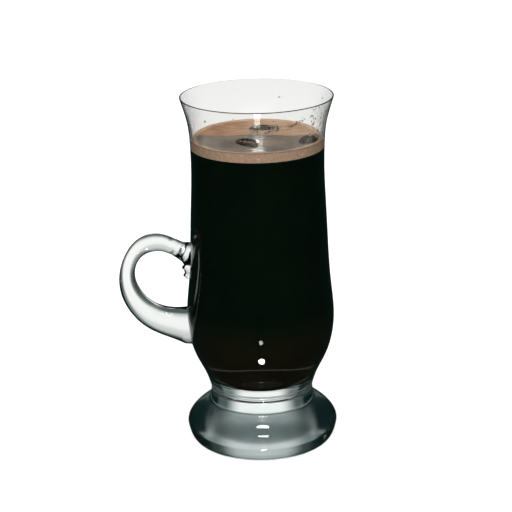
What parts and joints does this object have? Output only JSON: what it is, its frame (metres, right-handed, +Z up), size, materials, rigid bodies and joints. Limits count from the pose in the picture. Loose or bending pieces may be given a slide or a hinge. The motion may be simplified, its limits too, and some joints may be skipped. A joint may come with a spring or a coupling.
{
  "type": "mexican coffee",
  "caption": "Black coffee with a brown foam top and floating roasted coffee beans in a tall footed clear glass mug with a loop handle.",
  "frame": {"origin": "centre of the foot's flat underside", "axes": "+Z up along the glass's axis, handle towards -X, seen in the picture from -Y"},
  "size_m": [0.0948, 0.0666, 0.155],
  "materials": {
    "glass": "clear, polished, faintly green where it is thick",
    "coffee": "near-black liquid, glossy",
    "foam": "tan-brown fine foam, under a glossy greyer film at the front",
    "bean": "dark roasted bean, satin with a light crease"
  },
  "bodies": {
    "root": {"glass": "glass", "coffee": "coffee", "foam": "foam", "bean_left": "bean", "bean_right": "bean", "bean_back": "bean"}
  },
  "joints": []
}
